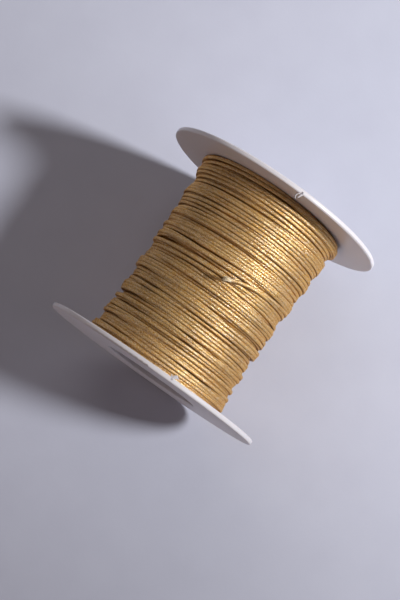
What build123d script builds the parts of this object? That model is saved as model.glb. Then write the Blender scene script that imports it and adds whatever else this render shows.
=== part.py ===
from build123d import *
import os
from math import cos, radians, sin, tan

# A spool of metallic cord, lying on its side on a flat surface. Millimetres.
# +X runs along the spool's axis, +Z is up, and the origin is on the surface, midway between the flanges.

# Driving dimensions of the plastic spool
flange_diameter = 75.0
flange_thickness = 1.6
flange_gap = 65.2  # between the flanges' inner faces
rim_fillet = 0.55
bore_diameter = 32.0
bore_chamfer = 0.3
collar_wall = 1.2  # the flange's collar, which plugs into the barrel
collar_length = 7.0
barrel_wall = 1.2
plug_clearance = 0.02  # radial, between a collar and the barrel

# The nick in the inner edge of each rim, which catches the end of the cord
nick_width = 0.6
nick_depth = 1.1  # radial
nick_reach = 0.8  # into the flange's thickness
nick_angle = 12.5  # from straight up, towards -Y

# Driving dimensions of the cord
cord_diameter = 1.2
winding_radius_near = 24.7  # against the flange at -X
winding_radius_waist = 23.5
winding_radius_far = 26.1  # against the flange at +X
winding_clearance = 0.1  # to the flanges and the barrel

# Worked out from them
flange_radius = flange_diameter / 2
bore_radius = bore_diameter / 2
collar_radius = bore_radius + collar_wall
barrel_bore_radius = collar_radius + plug_clearance
barrel_radius = barrel_bore_radius + barrel_wall
half_gap = flange_gap / 2
axis_height = flange_radius
axis_centre = (0, 0, axis_height)

os.makedirs("parts", exist_ok=True)


def across_axis(distance):
    """The plane square to the spool's axis at a distance from its middle, facing +X, with its Y axis up."""
    return Plane(origin=(distance, 0, axis_height), x_dir=(0, 1, 0), z_dir=(1, 0, 0))


def along_axis():
    """The upright plane through the spool's axis: its X runs along the axis and its Y is the radius."""
    return Plane(origin=axis_centre, x_dir=(1, 0, 0), z_dir=(0, -1, 0))


def flange(side):
    """A flange plate with its collar. side is -1 for the flange at -X and +1 for the one at +X."""
    outer_face = side * (half_gap + flange_thickness)
    collar_end = side * (half_gap - collar_length)
    with BuildPart() as plate:
        with BuildSketch(across_axis(side * half_gap)):
            Circle(flange_radius)
        extrude(amount=side * flange_thickness)
        fillet(plate.edges().filter_by(GeomType.CIRCLE), radius=rim_fillet)
        with BuildSketch(across_axis(collar_end)):
            Circle(collar_radius)
        extrude(amount=side * collar_length)
        with BuildSketch(across_axis(collar_end)):
            Circle(bore_radius)
        extrude(amount=side * (collar_length + flange_thickness), mode=Mode.SUBTRACT)
        circles = plate.edges().filter_by(GeomType.CIRCLE)
        outer_circles = circles.filter_by_position(Axis.X, outer_face - 0.01, outer_face + 0.01)
        chamfer(outer_circles.sort_by(SortBy.RADIUS)[0], length=bore_chamfer)
        with BuildSketch(across_axis(side * half_gap)):
            with PolarLocations(flange_radius, 1, start_angle=90 + nick_angle):
                SlotOverall(2 * nick_depth, nick_width)
        extrude(amount=side * nick_reach, mode=Mode.SUBTRACT)
    return plate.part


# The end plates
near_flange = flange(-1)
near_flange.label = "near_flange"
export_step(near_flange, "parts/near_flange.step")

far_flange = flange(1)
far_flange.label = "far_flange"
export_step(far_flange, "parts/far_flange.step")

# The tube that holds the flanges apart, its ends against their inner faces
with BuildPart() as barrel:
    with BuildSketch(across_axis(-half_gap)):
        Circle(barrel_radius)
        Circle(barrel_bore_radius, mode=Mode.SUBTRACT)
    extrude(amount=flange_gap)
barrel.part.label = "barrel"
export_step(barrel.part, "parts/barrel.step")

# The wound cord, as one closed solid of the winding's outer shape, fuller at both ends than at its waist
winding_half_width = half_gap - winding_clearance
winding_inner_radius = barrel_radius + winding_clearance
winding_outline = [
    (-winding_half_width, winding_radius_near),
    (-0.7 * winding_half_width, winding_radius_waist + 0.45),
    (-0.2 * winding_half_width, winding_radius_waist),
    (0.25 * winding_half_width, winding_radius_waist + 0.3),
    (0.65 * winding_half_width, winding_radius_waist + 1.1),
    (winding_half_width, winding_radius_far),
]
with BuildPart() as thread:
    with BuildSketch(along_axis()):
        with BuildLine():
            Spline(*winding_outline)
            Polyline(
                winding_outline[0],
                (-winding_half_width, winding_inner_radius),
                (winding_half_width, winding_inner_radius),
                winding_outline[-1],
            )
        make_face()
    revolve(axis=Axis(axis_centre, (1, 0, 0)), revolution_arc=360)
thread.part.label = "thread"
export_step(thread.part, "parts/thread.step")


def on_winding(distance, angle, radius):
    """The point at a distance along the axis, an angle from straight up towards -Y, and a radius."""
    turn = radians(angle)
    return (distance, -radius * sin(turn), axis_height + radius * cos(turn))


def bend_radii(route):
    """The largest radius that each corner's two runs allow."""
    runs = [Vector(*after) - Vector(*before) for before, after in zip(route, route[1:])]
    return [
        0.45 * min(first.length, second.length) / tan(radians(first.get_angle(second)) / 2)
        for first, second in zip(runs, runs[1:])
    ]


# The loose end of the cord: it lies on the winding, leaves it along its tangent and springs up to its cut tip
end_radius = winding_radius_waist + 0.25 + cord_diameter / 2  # where it lies on the winding
end_route = [
    on_winding(4.3, 47.5, end_radius),
    on_winding(4.1, 41.0, end_radius),
    on_winding(4.0, 34.0, end_radius),
    on_winding(3.7, 27.0, end_radius + 0.05),
    on_winding(3.0, 20.0, end_radius + 0.55),
    on_winding(2.0, 13.5, end_radius + 1.95),
    on_winding(0.8, 7.5, end_radius + 4.2),
]
end_radii = bend_radii(end_route)
print("thread_end bend radii:", [round(radius, 1) for radius in end_radii])
with BuildPart() as thread_end:
    with BuildLine() as end_line:
        FilletPolyline(*end_route, radius=end_radii)
    with BuildSketch(Plane(origin=end_line.line @ 0, z_dir=end_line.line % 0)):
        Circle(cord_diameter / 2)
    sweep()
thread_end.part.label = "thread_end"
export_step(thread_end.part, "parts/thread_end.step")
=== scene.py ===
"""A spool of gold metallic cord lying on its side: the looks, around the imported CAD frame. Metres."""

import math

import bpy
import numpy as np
from mathutils import Matrix, Vector


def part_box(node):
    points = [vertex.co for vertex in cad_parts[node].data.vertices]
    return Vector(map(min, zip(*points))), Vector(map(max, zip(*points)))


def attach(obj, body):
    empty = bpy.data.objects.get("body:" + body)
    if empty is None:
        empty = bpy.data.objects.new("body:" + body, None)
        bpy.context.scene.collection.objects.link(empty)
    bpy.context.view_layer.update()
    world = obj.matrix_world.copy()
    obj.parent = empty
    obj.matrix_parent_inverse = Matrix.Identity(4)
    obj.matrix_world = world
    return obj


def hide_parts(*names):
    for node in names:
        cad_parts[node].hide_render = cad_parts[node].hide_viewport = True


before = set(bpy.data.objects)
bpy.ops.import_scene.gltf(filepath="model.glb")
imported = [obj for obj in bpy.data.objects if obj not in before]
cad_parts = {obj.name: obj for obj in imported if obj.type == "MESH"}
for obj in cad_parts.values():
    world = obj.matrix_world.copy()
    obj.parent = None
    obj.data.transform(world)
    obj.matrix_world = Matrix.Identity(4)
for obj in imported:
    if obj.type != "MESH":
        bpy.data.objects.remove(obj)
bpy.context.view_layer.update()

# ---------------------------------------------------------------- sizes, from the frame
near_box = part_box("near_flange")
barrel_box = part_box("barrel")
AXIS_HEIGHT = (near_box[0].z + near_box[1].z) / 2
FLANGE_RADIUS = (near_box[1].z - near_box[0].z) / 2
HALF_GAP = (barrel_box[1].x - barrel_box[0].x) / 2
BARREL_RADIUS = (barrel_box[1].z - barrel_box[0].z) / 2
CORD = 0.0012  # the cord's diameter
NICK_ANGLE = 12.5  # degrees: the rim nicks, from straight up towards -Y


# ---------------------------------------------------------------- camera
CAMERA_PLACE = Vector((-0.05585, -0.03385, AXIS_HEIGHT + 0.47209))
CAMERA_FORWARD = Vector((0.10506, 0.07332, -0.99176))
CAMERA_UP = Vector((0.81328, 0.56760, 0.12811))
CAMERA_LENS, SENSOR_WIDTH = 91.3, 36  # in mm
CAMERA_SEES = (0.01, 20)  # from how near to how far


def make_camera():
    data = bpy.data.cameras.new("camera")
    data.sensor_width = SENSOR_WIDTH
    data.lens = CAMERA_LENS
    data.clip_start, data.clip_end = CAMERA_SEES
    camera = bpy.data.objects.new("camera", data)
    bpy.context.scene.collection.objects.link(camera)
    back = -CAMERA_FORWARD.normalized()
    right = CAMERA_UP.cross(back).normalized()
    up = back.cross(right)
    turn = Matrix((right, up, back)).transposed()
    camera.matrix_world = Matrix.Translation(CAMERA_PLACE) @ turn.to_4x4()
    bpy.context.scene.camera = camera


# ---------------------------------------------------------------- the cord's line
TURN_STEPS = 36  # control points in a turn
PULL_IN = (3 + math.cos(math.tau / TURN_STEPS)) / 4  # how far inside its control points the smooth line runs
SQUEEZE = 0.81  # distance between touching strands, in diameters: the cord is soft
EDGE = HALF_GAP - 0.53 * CORD  # the furthest the cord's middle gets along the axis
END_X = 0.0042  # where the last turn ends, along the axis

# The lower layers: where the winder's guide goes next along the axis. Short trips build the ends up.
LOWER_TRIPS = [EDGE, -EDGE, -EDGE + 0.0021, -EDGE, EDGE, EDGE - 0.0026, EDGE, -EDGE]
LOWER_CLOSENESS = 0.95  # of the turns: 1 is side by side
# The upper layers: two quick slanting trips under two close, unevenly guided ones
UPPER_TRIPS = [EDGE, -EDGE, EDGE, END_X]
UPPER_AT = [-EDGE, -0.024, 0.002, 0.008, 0.014, 0.020, EDGE]  # along the axis, for the rows below
UPPER_CLOSENESS = [
    [0.20, 0.12, 0.12, 0.10, 0.10, 0.20, 0.35],
    [0.20, 0.12, 0.12, 0.10, 0.10, 0.15, 0.25],
    [1.12, 1.06, 1.06, 0.50, 0.75, 1.00, 1.08],
    [1.00, 1.00, 1.00, 1.04, 1.04, 1.04, 1.06],
]
UNEVENNESS = 0.14
UPPER_PLACES = 14  # along the axis, where each trip's unevenness is drawn
LEAST_CLOSENESS = 0.08

# How the winder's guide strays from an even trip
WANDER = 0.00034  # how far it drifts
WANDER_TURNS = (0.4, 1.4, 4.1)  # the turns that its quick, middling and slow drifts take
WANDER_SIZE = 0.8  # of each drift, in WANDER
JERK = 0.0007  # how far it jerks aside now and then
JERK_TURNS = 0.16  # the time a jerk takes
JERK_REST = 0.62  # the chance that it rests as long before the next one
EARLY_STRAY = 0.3  # how much of all this the first layers have
STRAY_GROWS_FROM = 0.35  # the share of the winding after which the rest comes in
STRAY_GROWS_OVER = 0.3  # and the share over which it does

# How a strand settles
GUIDE_PULL = 1500  # how strongly a strand keeps to the guide rather than slip into a groove, in 1/m
SLIP_REACH = 0.00024  # how far it can slip along the axis in one step
SLIP_TRIES = 11  # places tried within that reach
SLIP_PULL = 900  # how strongly it keeps its direction
EASING = np.array([1, 3, 5, 6, 5, 3, 1]) / 24  # weights of a step and its neighbours as the cord evens out
EASED_AGAIN = len(EASING) - 1  # steps before a turn that are eased with it, for a smooth join
NOT_LAID = 9.0  # a place along the axis too far off to matter

# Where tension presses proud strands into those below: the cord's middle, along the axis and out
PRESS_AT = [-EDGE, -0.027, -0.019, 0.0, 0.0125, 0.020, 0.027, EDGE]
PRESS_RADIUS = [0.0242, 0.0233, 0.0230, 0.0231, 0.0235, 0.0240, 0.0246, 0.0256]
PRESS_GIVE = 0.35  # how much of a proud strand's height is left


def between(knots, count, period):
    """A smooth line of numbers through the knots, one knot in each period."""
    place = np.arange(count) / period
    whole = place.astype(int)
    part = place - whole
    part = part * part * (3 - 2 * part)
    return knots[whole] * (1 - part) + knots[whole + 1] * part


def drawn_knots(rng, count, period):
    """Knots from -1 to 1 for a line of that many numbers."""
    return rng.uniform(-1, 1, int(count / period) + 4)


def drifting(rng, count, period):
    """Numbers from -1 to 1 that drift smoothly, with about one turning point in each period."""
    return between(drawn_knots(rng, count, period), count, period)


def jerking(rng, count, period, rest):
    """Numbers from -1 to 1 that mostly rest, and now and then change within one period."""
    knots = drawn_knots(rng, count, period)
    for k in np.flatnonzero(rng.random(len(knots)) < rest):
        knots[k] = knots[max(k - 1, 0)]
    return between(knots, count, period)


def guide_line(rng):
    """Where the winder's guide stands along the axis at each step, and the step that each trip ends at."""
    draw_at = np.linspace(-EDGE, EDGE, UPPER_PLACES)
    uneven = rng.uniform(1 - UNEVENNESS, 1 + UNEVENNESS, (len(UPPER_TRIPS), UPPER_PLACES))
    upper = uneven * [np.interp(draw_at, UPPER_AT, row) for row in UPPER_CLOSENESS]
    lower = [np.full(UPPER_PLACES, LOWER_CLOSENESS)] * len(LOWER_TRIPS)
    places, trip_ends, x = [], [], -EDGE
    for stop, closeness in zip(LOWER_TRIPS + UPPER_TRIPS, [*lower, *upper]):
        way = math.copysign(1, stop - x)
        while (stop - x) * way > 0:
            places.append(x)
            x += way * CORD / max(np.interp(x, draw_at, closeness), LEAST_CLOSENESS) / TURN_STEPS
        x = stop
        trip_ends.append(len(places))
    places = np.array(places)
    count = len(places)
    sway = sum(WANDER_SIZE * drifting(rng, count, turns * TURN_STEPS) for turns in WANDER_TURNS)
    stray = WANDER * sway + JERK * jerking(rng, count, JERK_TURNS * TURN_STEPS, JERK_REST)
    later = np.clip((np.arange(count) / count - STRAY_GROWS_FROM) / STRAY_GROWS_OVER, 0, 1)
    return np.clip(places + (EARLY_STRAY + (1 - EARLY_STRAY) * later) * stray, -EDGE, EDGE), trip_ends


def eased(values):
    """The values, smoothed over their neighbours each way."""
    return np.convolve(np.pad(values, len(EASING) // 2, mode="edge"), EASING, mode="valid")


def bridged(values):
    """The highest of each value and its two neighbours: a pulled cord bridges small dips."""
    padded = np.pad(values, 1, mode="edge")
    return np.max([padded[k : k + len(values)] for k in range(3)], axis=0)


def lay_turns(seed=7):
    """Winds the cord: each step settles into the lowest place near its guide that clears the strands below.
    Returns an (x, radius) row for each step, and the step at which each trip ends."""
    rng = np.random.default_rng(seed)
    guide, trip_ends = guide_line(rng)
    count = len(guide)
    gap = CORD * SQUEEZE
    floor = BARREL_RADIUS + CORD / 2
    shape = (TURN_STEPS, count // TURN_STEPS + 2)
    laid_x, laid_r = np.full(shape, NOT_LAID), np.zeros(shape)
    line = np.zeros((count, 2))
    here = guide[0]
    slips = np.linspace(-1, 1, SLIP_TRIES) * SLIP_REACH
    for step in range(count):
        slot, turn = step % TURN_STEPS, step // TURN_STEPS
        tries = np.clip(here + slips, -EDGE, EDGE)
        height = np.full(len(tries), floor)
        if turn:
            away = np.abs(tries[:, None] - laid_x[slot, None, :turn])
            over = laid_r[slot, None, :turn] + np.sqrt(np.maximum(gap * gap - away * away, 0))
            height = np.maximum(np.where(away < gap, over, floor).max(1), floor)
        cost = height + GUIDE_PULL * (tries - guide[step]) ** 2 + SLIP_PULL * (tries - here) ** 2
        best = int(cost.argmin())
        here = tries[best]
        laid_x[slot, turn], laid_r[slot, turn] = here, height[best]
        line[step] = here, height[best]
        if slot == TURN_STEPS - 1:
            first = max(0, step - TURN_STEPS + 1 - EASED_AGAIN)
            kept = EASED_AGAIN if first else 0
            along, radius = line[first : step + 1].T
            evened = np.stack([eased(along), eased(bridged(radius))], axis=1)
            line[first + kept : step + 1] = evened[kept:]
            laid_x[:, turn], laid_r[:, turn] = line[step - TURN_STEPS + 1 : step + 1].T
    along, radius = eased(line[:, 0]), eased(line[:, 1])
    limit = np.interp(along, PRESS_AT, PRESS_RADIUS)
    radius = np.where(radius > limit, limit + PRESS_GIVE * (radius - limit), radius)
    return np.stack([along, radius], axis=1), trip_ends


def on_winding(distance, angle, radius):
    """The point at a distance along the axis, an angle in degrees from straight up to -Y, and a radius."""
    turn = math.radians(angle)
    return Vector((distance, -radius * math.sin(turn), AXIS_HEIGHT + radius * math.cos(turn)))


# The loose end: it leaves the winding along its tangent and springs up to its cut tip
END_RADIUS = 0.02325
END_START = (0.0043, 0.0232)  # along the axis and out: where the last turn stops and the loose end begins
END_START_ANGLE = 54.0  # degrees
END_MERGE = 16  # the steps in which the last turn comes to that place
END_ROUTE = [
    on_winding(0.0043, 47.5, END_RADIUS),
    on_winding(0.0041, 41.0, END_RADIUS + 0.0003),
    on_winding(0.0040, 34.0, END_RADIUS + 0.0006),
    on_winding(0.0037, 27.0, END_RADIUS + 0.0008),
    on_winding(0.0030, 20.0, END_RADIUS + 0.0014),
    on_winding(0.0020, 13.5, END_RADIUS + 0.0028),
    on_winding(0.0008, 7.5, END_RADIUS + 0.0050),
]


def cord_controls():
    """The cord's control points from the barrel to its tip, and the step that each trip ends at."""
    line, trip_ends = lay_turns()
    share = np.linspace(0, 1, END_MERGE)[:, None]
    line[-END_MERGE:] += share * share * (3 - 2 * share) * (np.array(END_START) - line[-1])
    steps_left = np.arange(len(line))[::-1]
    angle = math.radians(END_START_ANGLE) + steps_left * math.tau / TURN_STEPS
    along, radius = line[:, 0], line[:, 1] / PULL_IN
    points = np.stack([along, -radius * np.sin(angle), AXIS_HEIGHT + radius * np.cos(angle)], axis=1)
    return np.vstack([points, [list(p) for p in END_ROUTE]]), trip_ends


def nurbs_points(controls, per_span):
    """Points read in order from the smooth NURBS curve that has these control points."""
    data = bpy.data.curves.new("cord_line", "CURVE")
    data.dimensions = "3D"
    spline = data.splines.new("NURBS")
    spline.points.add(len(controls) - 1)
    spline.points.foreach_set("co", np.c_[controls, np.ones(len(controls))].ravel())
    spline.order_u = 3
    spline.use_endpoint_u = True
    spline.resolution_u = per_span
    holder = bpy.data.objects.new("cord_line", data)
    bpy.context.scene.collection.objects.link(holder)
    bpy.context.view_layer.update()
    depsgraph = bpy.context.evaluated_depsgraph_get()
    mesh = bpy.data.meshes.new_from_object(holder.evaluated_get(depsgraph), depsgraph=depsgraph)
    points = np.zeros(len(mesh.vertices) * 3)
    mesh.vertices.foreach_get("co", points)
    bpy.data.meshes.remove(mesh)
    bpy.data.objects.remove(holder)
    bpy.data.curves.remove(data)
    return points.reshape(-1, 3)


# ---------------------------------------------------------------- meshes
SQUASH = 0.15  # how much further out the section's corners are than a circle's: packed cord is squared off
UV_WRAP = 0.24  # metres of cord after which the length in its UV map starts again


def tube(points, radii, sides, start_length):
    """One capped length of tube: its vertices, its faces, a UV in metres for each face corner, and how far
    along the cord it ends."""
    count = len(points)
    tangent = np.gradient(points, axis=0)
    tangent /= np.linalg.norm(tangent, axis=1)[:, None]
    outward = points - np.c_[points[:, 0], np.zeros(count), np.full(count, AXIS_HEIGHT)]
    outward -= (outward * tangent).sum(1)[:, None] * tangent
    outward /= np.linalg.norm(outward, axis=1)[:, None]
    across = np.cross(tangent, outward)
    turn = np.arange(sides) * math.tau / sides
    reach = 1 + SQUASH * np.sin(2 * turn) ** 2
    rings = points[:, None, :] + radii[:, None, None] * (
        outward[:, None, :] * (reach * np.cos(turn))[None, :, None]
        + across[:, None, :] * (reach * np.sin(turn))[None, :, None]
    )
    vertices = np.vstack([rings.reshape(-1, 3), points[:1], points[-1:]])
    ring, side = np.meshgrid(np.arange(count - 1), np.arange(sides), indexing="ij")
    ring, side = ring.ravel(), side.ravel()
    beside = (side + 1) % sides
    here, ahead = ring * sides, (ring + 1) * sides
    quads = np.stack([here + side, here + beside, ahead + beside, ahead + side], axis=1)
    first, last = count * sides, count * sides + 1
    k = np.arange(sides)
    low = np.stack([np.full(sides, first), (k + 1) % sides, k], axis=1)
    top = (count - 1) * sides
    high = np.stack([np.full(sides, last), top + k, top + (k + 1) % sides], axis=1)
    length = start_length + np.r_[0, np.cumsum(np.linalg.norm(np.diff(points, axis=0), axis=1))]
    base = np.floor(length[ring] / UV_WRAP) * UV_WRAP
    round_step = math.pi * CORD / sides
    u0, u1 = side * round_step, (side + 1) * round_step
    v0, v1 = length[ring] - base, length[ring + 1] - base
    quad_uv = np.stack([np.c_[u0, v0], np.c_[u1, v0], np.c_[u1, v1], np.c_[u0, v1]], axis=1)
    cap_uv = np.zeros((2 * sides * 3, 2))
    uv = np.vstack([quad_uv.reshape(-1, 2), cap_uv])
    faces = quads.tolist() + low.tolist() + high.tolist()
    return vertices, faces, uv, length[-1]


def joined(parts):
    """The vertices and the faces of several parts, each as one list."""
    vertices, faces = [], []
    for part, part_faces in parts:
        start = len(vertices)
        faces += [[start + corner for corner in face] for face in part_faces]
        vertices += list(part)
    return vertices, faces


def mesh_object(name, vertices, faces, uv=None, smooth=True):
    mesh = bpy.data.meshes.new(name)
    mesh.from_pydata([tuple(v) for v in vertices], [], faces)
    if uv is not None:
        layer = mesh.uv_layers.new(name="cord")
        layer.data.foreach_set("uv", np.asarray(uv, float).ravel())
    mesh.polygons.foreach_set("use_smooth", [smooth] * len(mesh.polygons))
    mesh.update()
    piece = bpy.data.objects.new(name, mesh)
    bpy.context.scene.collection.objects.link(piece)
    return piece


LINE_STEPS = 2  # points of the cord's line for each control point
THICKNESS_CHANGE = 0.05  # how much thicker or thinner the cord gets
THICKNESS_PERIOD = 9  # control points
# The cord's mesh in three lengths, the deeper the coarser: the trip that each ends with (None: it runs to the
# cord's tip), every how many points it has a ring, and the ring's sides
MESH_LENGTHS = [(3, 3, 5), (6, 2, 6), (None, 1, 8)]


def make_cord(seed=21):
    """The whole cord as one tube: the piece, the points it follows, and its length."""
    controls, trip_ends = cord_controls()
    points = nurbs_points(controls, LINE_STEPS)
    rng = np.random.default_rng(seed)
    share = len(points) / len(controls)
    radii = CORD / 2 * (1 + THICKNESS_CHANGE * drifting(rng, len(points), THICKNESS_PERIOD * LINE_STEPS))
    parts, uvs, path, length, begin = [], [], [], 0.0, 0
    for trip, every, sides in MESH_LENGTHS:
        end = len(points) - 1 if trip is None else int(trip_ends[trip] * share)
        chosen = np.r_[np.arange(begin, end, every), end]
        vertices, faces, uv, length = tube(points[chosen], radii[chosen], sides, length)
        parts.append((vertices, faces))
        uvs.append(uv)
        path.append(points[chosen])
        begin = end
    piece = mesh_object("gold_cord", *joined(parts), np.vstack(uvs))
    return piece, np.vstack(path), length


FIBRES = 90
SHEATH_FIBRES = 20  # those of them that lie outside the cord, where its gold has frayed away
SHEATH_AT, CORE_AT = 0.49, 0.44  # in diameters: how far out those start, and the others at most
FRAYED = 0.0024  # the length of cord that has come apart
FRAYED_LEAST = 0.5  # of that: the least that a fibre has
FIBRE_REACH = (0.0001, 0.0009)  # how far the fibres stand out beyond the cut end
FIBRE_SPREAD = 0.09  # how far they splay, for each metre of their length
FIBRE_BEND = 0.13  # how far they bend aside at most, likewise
FIBRE_RADIUS = 0.00010
FIBRE_TAPER = 0.35  # of that, at the tip
FIBRE_RINGS = 6
FIBRE_SIDES = 4


def make_frayed_tip(path, seed=5):
    """The pale core fibres that splay out of the cord's cut end."""
    rng = np.random.default_rng(seed)
    tip = path[-1]
    way = tip - path[-4]  # where the cord's end points
    way /= np.linalg.norm(way)
    side = np.cross(way, (0.0, 0.0, 1.0))
    side /= np.linalg.norm(side)
    over = np.cross(side, way)
    along = np.linspace(0, 1, FIBRE_RINGS)[:, None]
    taper = np.linspace(1, FIBRE_TAPER, FIBRE_RINGS) * FIBRE_RADIUS
    parts = []
    for k in range(FIBRES):
        turn = rng.uniform(0, math.tau)
        out = side * math.cos(turn) + over * math.sin(turn)
        inset = SHEATH_AT if k < SHEATH_FIBRES else CORE_AT * math.sqrt(rng.uniform(0, 1))
        length = FRAYED * rng.uniform(FRAYED_LEAST, 1.0) + rng.uniform(*FIBRE_REACH)
        start = tip + (rng.uniform(*FIBRE_REACH) - length) * way + inset * CORD * out
        aside = FIBRE_SPREAD * out + rng.uniform(-FIBRE_BEND, FIBRE_BEND) * side
        fibre = start + along * length * way + along**2 * length * aside
        parts.append(tube(fibre, taper, FIBRE_SIDES, 0)[:2])
    return mesh_object("frayed_tip", *joined(parts))


# ---------------------------------------------------------------- the burrs at the rims' nicks
BURR_THICKNESS = 0.00012
NICK_REACH = 0.0007  # from a flange's inner face back to where the nick ends
CURL_POINTS = 9


def rim_point(side, angle, inset):
    """A point on a flange's inner edge: side is -1 or +1, and inset is how far it is in from the rim."""
    return on_winding(side * HALF_GAP, angle, FLANGE_RADIUS - inset)


def curl(start, way, out, radius, degrees):
    """Points along an arc that leaves its start in one direction and turns towards another."""
    turns = [math.radians(degrees) * k / (CURL_POINTS - 1) for k in range(CURL_POINTS)]
    return [start + radius * (math.sin(a) * way + (1 - math.cos(a)) * out) for a in turns]


def strip(points, across, root, tip):
    """A thin closed strip along the points: its vertices and faces. root and tip are its end widths."""
    across = across.normalized()
    vertices, faces = [], []
    last = len(points) - 1
    for k, point in enumerate(points):
        ahead = points[min(k + 1, last)] - points[max(k - 1, 0)]
        lift = ahead.cross(across).normalized() * BURR_THICKNESS / 2
        half = across * (root + (tip - root) * k / last) / 2
        vertices += [point - half - lift, point + half - lift, point + half + lift, point - half + lift]
        if k:
            a, b = 4 * k - 4, 4 * k
            faces += [(a + j, a + (j + 1) % 4, b + (j + 1) % 4, b + j) for j in range(4)]
    faces += [(3, 2, 1, 0), tuple(4 * last + j for j in range(4))]
    return vertices, faces


def make_burrs():
    """The flash at each rim's nick: a flared flap and a sliver at the near one, two curls at the far one."""
    inwards = Vector((1, 0, 0))  # at the near flange
    up = on_winding(0, NICK_ANGLE, 1.0) - on_winding(0, NICK_ANGLE, 0.0)
    round_rim = inwards.cross(up)

    flap_root = rim_point(-1, NICK_ANGLE, inset=0.0003) - NICK_REACH * inwards
    flap_out = (round_rim - 0.1 * up).normalized()
    flap_lean = (inwards + 0.84 * round_rim).normalized()
    flap = curl(flap_root, inwards, flap_out, radius=0.0016, degrees=84)
    sliver_root = rim_point(-1, NICK_ANGLE - 0.5, inset=0.0003)
    sliver_way = (inwards - 0.7 * round_rim).normalized()
    sliver = curl(sliver_root, sliver_way, -up, radius=0.0016, degrees=30)
    near_strips = [
        strip(flap, flap_lean.cross(up), root=0.0006, tip=0.0014),
        strip(sliver, sliver_way.cross(up), root=0.0005, tip=0.0002),
    ]

    blade_root = rim_point(1, NICK_ANGLE + 0.5, inset=0.0003) + 0.5 * NICK_REACH * inwards
    blade_way = (-inwards - 0.35 * round_rim).normalized()
    blade = curl(blade_root, blade_way, -up, radius=0.0032, degrees=34)
    hook_root = rim_point(1, NICK_ANGLE - 0.7, inset=0.0005)
    hook_way = (-0.35 * inwards - 0.94 * round_rim).normalized()
    hook_out = (-0.94 * inwards + 0.35 * round_rim).normalized()
    hook = curl(hook_root, hook_way, hook_out, radius=0.0011, degrees=125)
    far_strips = [
        strip(blade, blade_way.cross(up), root=0.0007, tip=0.0003),
        strip(hook, up + 0.6 * round_rim, root=0.0006, tip=0.0003),
    ]
    near = mesh_object("near_rim_burr", *joined(near_strips))
    far = mesh_object("far_rim_burr", *joined(far_strips))
    return near, far


# ---------------------------------------------------------------- materials
class Look:
    """A new material: its shader, and short ways to add the nodes that feed it."""

    def __init__(self, name):
        self.material = bpy.data.materials.new(name)
        self.material.use_nodes = True
        self.nodes = self.material.node_tree.nodes
        self.links = self.material.node_tree.links
        self.shader = self.nodes["Principled BSDF"]
        self.place = self.nodes.new("ShaderNodeTexCoord").outputs

    def feed(self, node, inputs):
        """Links each input, by name or number, to another node's output, or sets it to a constant."""
        for name, value in inputs.items():
            if isinstance(value, bpy.types.NodeSocket):
                self.links.new(value, node.inputs[name])
            else:
                node.inputs[name].default_value = value

    def add(self, kind, inputs, **settings):
        """A new node. Every method after this one adds a node too, and gives its output."""
        node = self.nodes.new("ShaderNode" + kind)
        for name, value in settings.items():
            setattr(node, name, value)
        self.feed(node, inputs)
        return node

    def maths(self, operation, *values):
        return self.add("Math", dict(enumerate(values)), operation=operation).outputs[0]

    def vectors(self, operation, *values):
        return self.add("VectorMath", dict(enumerate(values)), operation=operation).outputs[0]

    def noise(self, scale, detail=2):
        """Noise over the piece itself, with its scale in 1/m."""
        inputs = {"Vector": self.place["Object"], "Scale": scale, "Detail": detail}
        return self.add("TexNoise", inputs).outputs["Fac"]

    def bump(self, height, strength, distance):
        return self.add("Bump", {"Height": height, "Strength": strength, "Distance": distance}).outputs[0]

    def mapped(self, value, source, result=(0, 1)):
        """The value, carried from one range to another and kept inside it."""
        names = ("From Min", "From Max", "To Min", "To Max")
        inputs = {"Value": value, **dict(zip(names, (*source, *result)))}
        return self.add("MapRange", inputs).outputs["Result"]

    def ramp(self, factor, stops):
        """A colour for the factor, from (place, colour) stops."""
        node = self.add("ValToRGB", {0: factor})
        while len(node.color_ramp.elements) < len(stops):
            node.color_ramp.elements.new(0.5)
        for element, (place, colour) in zip(node.color_ramp.elements, stops):
            element.position = place
            element.color = (*colour, 1)
        return node.outputs["Color"]

    def mixed(self, factor, under, over):
        """The colour under, with the constant colour over laid on it by the factor."""
        inputs = {"Factor": factor, "A": under, "B": (*over, 1)}
        return self.add("Mix", inputs, data_type="RGBA").outputs["Result"]


# The braid's crossing stitches
BRAID_STRANDS = 5  # round the cord
BRAID_LENGTH = 0.0008  # of one stitch along the cord
BRAID_SLIP = 2.0  # how unevenly the stitches lie, in stitches
BRAID_RELIEF = 0.00009
BRAID_BUMP = 0.7  # how strongly that relief shows
# The metallic yarn: its colour from dark to light, by stain and by painted shade low in each stitch, and its
# facets
YARN = [(0.40, (0.34, 0.136, 0.018)), (0.78, (0.65, 0.292, 0.035)), (1.0, (0.79, 0.445, 0.075))]
STITCH_PAINTED_SHADE = 0.75  # how much lighter the yarn is painted at the top of a stitch than low down: painted shade over the stitch relief
STAIN_SCALE, STAIN_DETAIL = 240, 5
YARN_METAL, YARN_ROUGHNESS = 0.76, 0.48
YARN_SPECULAR, YARN_SPECULAR_TINT = 0.12, (1.0, 0.62, 0.28)
FACET = 0.00009  # size of one glinting facet of the yarn
FACET_TILT = 0.27  # how far the facets turn from the cord's round surface
GOLD_SHARE, GOLD_FOIL = 0.34, (1.0, 0.84, 0.48)  # of the facets: bare gold foil, glossier than the rest
PALE_SHARE, PALE_FOIL = 0.10, (1.0, 0.94, 0.86)  # of the facets: foil whose colour has worn off
FOIL_METAL, FOIL_GLOSS = 0.18, 0.08  # how much more metallic and less rough the foil is
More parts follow.
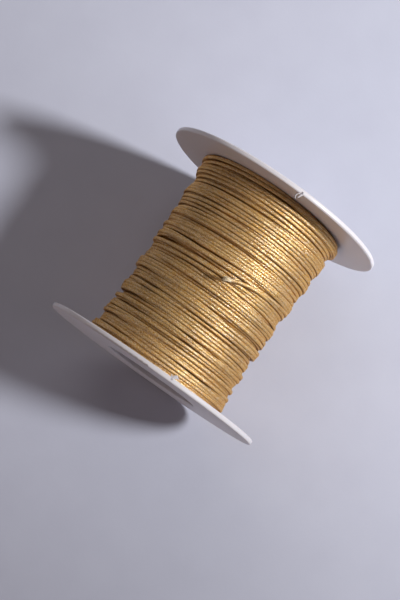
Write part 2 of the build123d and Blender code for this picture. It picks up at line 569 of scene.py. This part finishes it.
# Painted shade: a dark brown laid on the yarn between the stitches and down in the grooves
PAINTED_SHADE_BROWN = (0.23, 0.085, 0.014)
STITCH_GAP = 0.24  # the height of a stitch below which painted shade darkens its yarn
STITCH_SHADE = 0.32  # how dark the painted shade is at the bottom of a stitch
GROOVE_TURN = (36, 62)  # degrees round the cord from outwards, between which painted shade darkens the yarn towards the grooves
GROOVE_SHADE = (0.30, 0.90)  # how dark the painted shade is down in the grooves, at least and at most: they are not all open alike
GROOVE_PATCH = 110  # how finely the open and closed stretches, with deeper and lighter painted shade, follow each other, in 1/m
GROOVE_CHANGE = (0.35, 0.65)  # the noise's range between closed and open


def gold_cord_material():
    """Crossing stitches of stained metallic yarn, with facets of bare foil, and painted shade in the gaps
    between stitches and down in the grooves.
    """
    look = Look("gold_cord")
    uv = look.add("SeparateXYZ", {0: look.place["UV"]}).outputs
    round_cord = look.maths("MULTIPLY", uv[0], BRAID_STRANDS / (math.pi * CORD))
    along_cord = look.maths("MULTIPLY", uv[1], 1 / BRAID_LENGTH)
    slip = look.maths("MULTIPLY", look.noise(1 / BRAID_LENGTH), BRAID_SLIP)
    along_cord = look.maths("ADD", along_cord, slip)
    left = look.maths("ADD", round_cord, along_cord)
    right = look.maths("SUBTRACT", round_cord, along_cord)
    waves = [look.maths("SINE", look.maths("MULTIPLY", way, math.pi)) for way in (left, right)]
    braid = look.maths("ABSOLUTE", look.maths("MULTIPLY", *waves))

    facets = look.add("TexVoronoi", {"Vector": look.place["Object"], "Scale": 1 / FACET}).outputs["Color"]
    kind = look.add("SeparateColor", {0: facets}).outputs[0]
    gold = look.maths("LESS_THAN", kind, GOLD_SHARE)
    pale = look.maths("GREATER_THAN", kind, 1 - PALE_SHARE)
    foil = look.maths("ADD", gold, pale)
    tilt = look.vectors("MULTIPLY_ADD", facets, (FACET_TILT,) * 3, (-FACET_TILT / 2,) * 3)
    surface = look.vectors("ADD", look.bump(braid, BRAID_BUMP, BRAID_RELIEF), tilt)

    stain = look.noise(STAIN_SCALE, STAIN_DETAIL)
    # painted shade: the yarn is painted darker low in each stitch and lighter at its top, added to the stain
    painted_shade_and_stain = look.maths("ADD", look.maths("MULTIPLY", braid, STITCH_PAINTED_SHADE), stain)
    colour = look.mixed(gold, look.ramp(painted_shade_and_stain, YARN), GOLD_FOIL)
    colour = look.mixed(pale, colour, PALE_FOIL)
    facing = look.maths("COSINE", look.maths("MULTIPLY", uv[0], 2 / CORD))
    # painted shade down the strands' sides, towards the grooves between them, deeper where a groove is more
    # open
    groove_shade_mask = look.mapped(facing, [math.cos(math.radians(turn)) for turn in GROOVE_TURN])
    groove_shade_depth = look.mapped(look.noise(GROOVE_PATCH), GROOVE_CHANGE, GROOVE_SHADE)
    # painted shade in the gaps between stitches, darkest at their bottom
    gap = look.mapped(braid, (0, STITCH_GAP), (STITCH_SHADE, 0))
    # painted shade: dark brown laid over the colour in the stitch gaps and grooves, which also takes the
    # metal away there
    painted_shade_share = look.maths("MAXIMUM", look.maths("MULTIPLY", groove_shade_mask, groove_shade_depth), gap)
    metal = look.maths("MULTIPLY_ADD", foil, FOIL_METAL, YARN_METAL)
    look.feed(look.shader, {
        "Base Color": look.mixed(painted_shade_share, colour, PAINTED_SHADE_BROWN),
        "Metallic": look.maths("MULTIPLY", metal, look.maths("SUBTRACT", 1, painted_shade_share)),
        "Roughness": look.maths("MULTIPLY_ADD", foil, -FOIL_GLOSS, YARN_ROUGHNESS),
        "Normal": look.vectors("NORMALIZE", surface),
        "Specular IOR Level": YARN_SPECULAR,
        "Specular Tint": (*YARN_SPECULAR_TINT, 1),
    })
    return look.material


CORE = [(0.35, (0.74, 0.57, 0.36)), (0.6, (0.96, 0.85, 0.64))]  # the core fibres' mottled colour


def fibre_material():
    """The cord's pale core, matt and a little uneven."""
    look = Look("core_fibre")
    look.feed(look.shader, {"Base Color": look.ramp(look.noise(scale=2500), CORE), "Roughness": 0.7})
    return look.material


PLASTIC_CLOUD = 0.95  # of the tint, in its cloudy parts
PLASTIC_SHEEN = 0.25  # how much its roughness varies
PLASTIC_GRAIN = 0.00005  # the height of its grain


def plastic_material(name, tint, smoothest):
    """Moulded plastic: a faint cloudiness, a fine grain, and a sheen that varies a little."""
    look = Look(name)
    cloud = look.noise(scale=45, detail=4)
    low = tuple(part * PLASTIC_CLOUD for part in tint)
    grain = look.noise(scale=2200, detail=3)
    look.feed(look.shader, {
        "Base Color": look.ramp(cloud, [(0.3, low), (0.7, tint)]),
        "Roughness": look.maths("MULTIPLY_ADD", cloud, PLASTIC_SHEEN, smoothest),
        "Normal": look.bump(grain, strength=0.12, distance=PLASTIC_GRAIN),
        "Subsurface Weight": 0.15,
        "Subsurface Radius": (0.003, 0.0025, 0.002),
        "Subsurface Scale": 0.5,
    })
    return look.material


FLOOR = [(0.3, (0.562, 0.575, 0.685)), (0.7, (0.585, 0.600, 0.710))]  # its faintly mottled colour
FLOOR_SIZE = 1.5  # from its middle to its sides


def floor_material():
    """A pale, matt board with a faint mottle and a fine grain."""
    look = Look("pale_floor")
    grain = look.noise(scale=900, detail=3)
    look.feed(look.shader, {
        "Base Color": look.ramp(look.noise(scale=60, detail=6), FLOOR),
        "Normal": look.bump(grain, strength=0.2, distance=0.0001),
        "Roughness": 0.7,
        "Specular IOR Level": 0.25,
    })
    return look.material


# ---------------------------------------------------------------- stage and light
def make_floor():
    vertices = [(x * FLOOR_SIZE, y * FLOOR_SIZE, 0) for x, y in ((-1, -1), (1, -1), (1, 1), (-1, 1))]
    floor = mesh_object("floor", vertices, [(0, 1, 2, 3)], smooth=False)
    floor.data.materials.append(floor_material())


# The window: its direction from the spool, and its aim past it, which darkens the shadow's side of the floor
WINDOW_HEADING = math.radians(-68.75)  # in plan, from +X towards +Y
WINDOW_ELEVATION = math.radians(40.6)
WINDOW_DISTANCE = 0.95
WINDOW_AIM = (0.220, -0.108, 0.0)
WINDOW_SPREAD = math.radians(56)
WINDOW_RADIUS = 0.075
WINDOW_POWER, SKY_POWER, WALL_POWER, ROOM_STRENGTH = 47.0, 2.8, 1.5, 0.07
WINDOW_COLOUR = (0.985, 0.99, 1.0)
SKY_COLOUR = (1.0, 0.94, 0.94)
WALL_COLOUR = (1.0, 0.74, 0.62)
ROOM_COLOUR = (1.0, 0.93, 0.95)


def add_light(name, kind, power, colour, place, target):
    data = bpy.data.lights.new(name, kind)
    data.energy = power
    data.color = colour
    light = bpy.data.objects.new(name, data)
    bpy.context.scene.collection.objects.link(light)
    light.location = place
    light.rotation_mode = "QUATERNION"
    light.rotation_quaternion = (Vector(target) - Vector(place)).to_track_quat("-Z", "Y")
    return data


def add_disk_light(name, power, colour, place, target, size):
    data = add_light(name, "AREA", power, colour, place, target)
    data.shape = "DISK"
    data.size = size


def make_light():
    """A window to one side, soft light from above on the other, a warm wall, and a weak warm room."""
    flat = math.cos(WINDOW_ELEVATION)
    across, along = flat * math.sin(WINDOW_HEADING), flat * math.cos(WINDOW_HEADING)
    way = Vector((along, across, math.sin(WINDOW_ELEVATION)))
    place = Vector((0, 0, AXIS_HEIGHT)) + way * WINDOW_DISTANCE
    window = add_light("window", "SPOT", WINDOW_POWER, WINDOW_COLOUR, place, WINDOW_AIM)
    window.shadow_soft_size = WINDOW_RADIUS
    window.spot_size = WINDOW_SPREAD
    window.spot_blend = 1.0
    add_disk_light("sky", SKY_POWER, SKY_COLOUR, (0.75, 0.6, 1.1), target=(0, 0, 0), size=1.2)
    add_disk_light("wall", WALL_POWER, WALL_COLOUR, (-1.1, 0.35, 0.55), target=(0, 0, 0.03), size=0.9)
    world = bpy.data.worlds.new("studio")
    world.use_nodes = True
    background = world.node_tree.nodes["Background"]
    background.inputs["Color"].default_value = (*ROOM_COLOUR, 1)
    background.inputs["Strength"].default_value = ROOM_STRENGTH
    bpy.context.scene.world = world
    bpy.context.scene.view_settings.view_transform = "Standard"


# ---------------------------------------------------------------- making it all
make_camera()
cord, cord_path, cord_length = make_cord()
cord.data.materials.append(gold_cord_material())
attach(cord, "root")
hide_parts("thread", "thread_end")
frayed_tip = make_frayed_tip(cord_path)
frayed_tip.data.materials.append(fibre_material())
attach(frayed_tip, "root")

white = plastic_material("white_plastic", tint=(0.80, 0.765, 0.795), smoothest=0.28)
dull = plastic_material("barrel_plastic", tint=(0.72, 0.70, 0.72), smoothest=0.45)
for node, plastic in (("near_flange", white), ("far_flange", white), ("barrel", dull)):
    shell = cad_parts[node]
    shell.data.materials.clear()
    shell.data.materials.append(plastic)

for burr in make_burrs():
    burr.data.materials.append(white)
    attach(burr, "root")

make_floor()
make_light()
